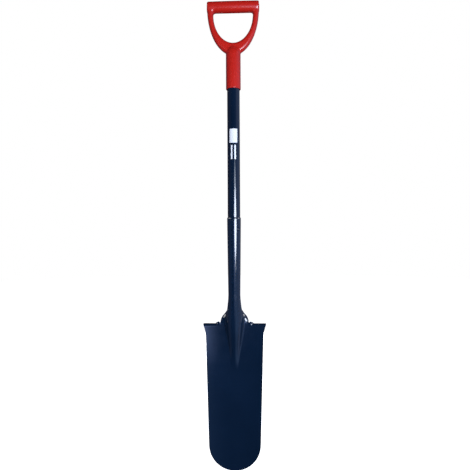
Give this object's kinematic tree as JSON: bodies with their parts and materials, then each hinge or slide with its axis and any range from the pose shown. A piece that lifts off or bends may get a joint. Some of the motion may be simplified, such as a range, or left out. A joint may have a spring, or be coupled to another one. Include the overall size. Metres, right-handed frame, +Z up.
{
  "type": "garden spade",
  "caption": "Narrow drainage spade with a rounded, treaded steel blade on a tubular shaft with a moulded D-handle.",
  "frame": {"origin": "underside of the crossbar at its middle, where the spade hangs on a peg", "axes": "+Z up the shaft towards the crossbar, the blade hangs down; -Y is the front of the blade, +X across it to the right seen from the front"},
  "size_m": [0.163, 0.0392, 1.198],
  "materials": {
    "blade_enamel": "gloss navy enamel on pressed steel",
    "shaft_enamel": "gloss navy enamel on steel tube",
    "rivet_enamel": "gloss navy enamel on a steel rivet",
    "handle_plastic": "satin red moulded plastic",
    "screw_steel": "zinc-plated steel",
    "label_print": "plain white print without lettering"
  },
  "bodies": {
    "root": {"blade": "blade_enamel", "shaft_tube": "shaft_enamel", "socket_rivet": "rivet_enamel", "d_handle": "handle_plastic", "handle_screw": "screw_steel", "shaft_label": "label_print"}
  },
  "joints": []
}
